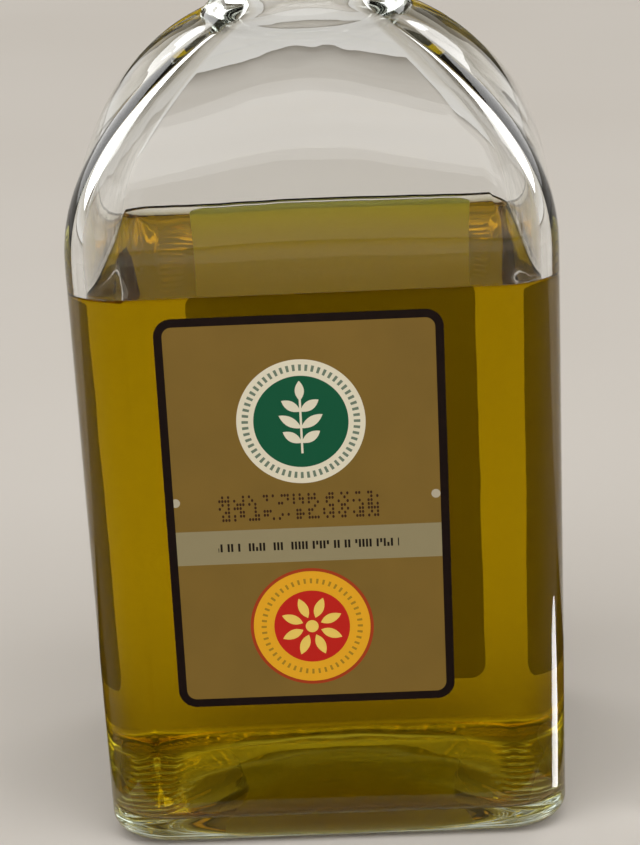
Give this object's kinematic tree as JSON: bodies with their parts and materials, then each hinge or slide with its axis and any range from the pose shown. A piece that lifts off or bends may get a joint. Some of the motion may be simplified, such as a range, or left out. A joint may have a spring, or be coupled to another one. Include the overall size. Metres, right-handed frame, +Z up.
{
  "type": "olive oil bottle",
  "caption": "Square clear glass bottle with domed shoulders and a short neck, filled with olive oil to just above its small face label and shut with a dark screw cap.",
  "frame": {"origin": "centre of the base, on the surface that the bottle stands on", "axes": "+Z up through the cap; -Y out of the face with the small seal label; +X to the right of that face as one looks at it"},
  "size_m": [0.076, 0.077, 0.166],
  "materials": {
    "clear_glass": "clear, fire-polished, faintly green in the thick base",
    "olive_oil": "clear golden green liquid",
    "seal_label_paper": "satin printed paper, tan with a black border",
    "wide_label_paper": "satin printed paper, tan with a black border",
    "cap_lacquer": "satin black lacquer on aluminium"
  },
  "bodies": {
    "root": {"glass_bottle": "clear_glass", "olive_oil": "olive_oil", "seal_label": "seal_label_paper", "wide_label": "wide_label_paper", "screw_cap": "cap_lacquer"}
  },
  "joints": []
}
